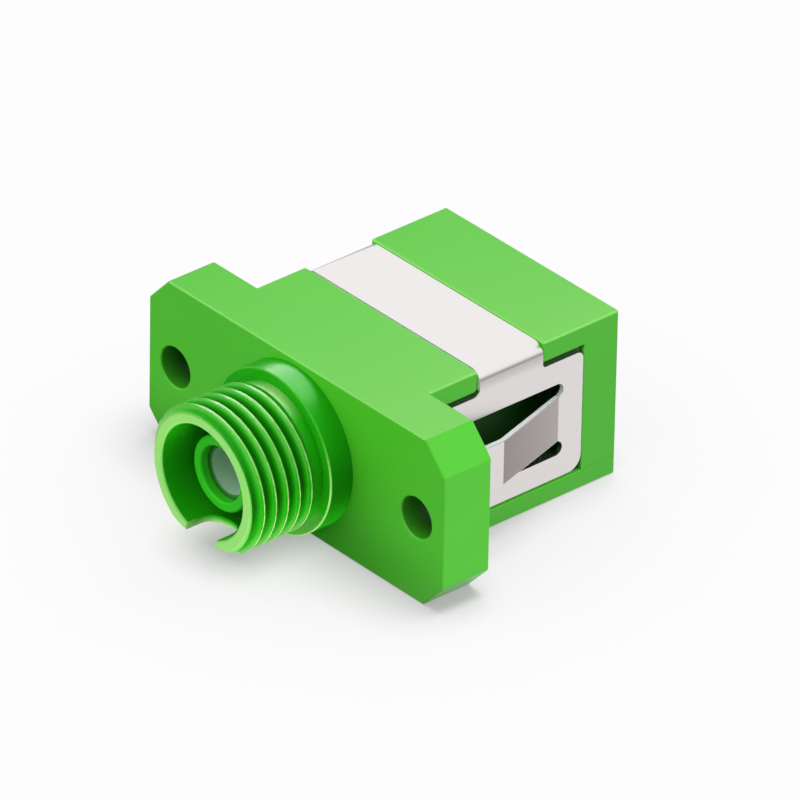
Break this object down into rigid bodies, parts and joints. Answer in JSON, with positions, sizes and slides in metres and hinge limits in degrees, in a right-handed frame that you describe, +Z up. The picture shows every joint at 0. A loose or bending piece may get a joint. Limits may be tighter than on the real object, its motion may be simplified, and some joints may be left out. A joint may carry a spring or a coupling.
{
  "type": "fibre optic adapter",
  "caption": "Green hybrid fibre optic adapter with a threaded round socket, a square push-in socket, a flange with screw holes and a folded steel panel clip.",
  "frame": {"origin": "middle of the flange's back plane, which meets the panel, between the screw holes", "axes": "+X along the flange, +Y out of the SC socket at the rear, +Z up, away from the face it rests on"},
  "size_m": [0.022, 0.0211, 0.0094],
  "materials": {
    "green_plastic": "satin moulded plastic",
    "inner_plastic": "satin moulded plastic",
    "spring_steel": "rolled stainless sheet",
    "ceramic": "polished zirconia"
  },
  "bodies": {
    "root": {"front_housing": "green_plastic", "rear_housing": "green_plastic", "fc_sleeve_holder": "inner_plastic", "sc_latch_insert": "inner_plastic", "split_sleeve": "ceramic", "panel_clip": "spring_steel"}
  },
  "joints": []
}
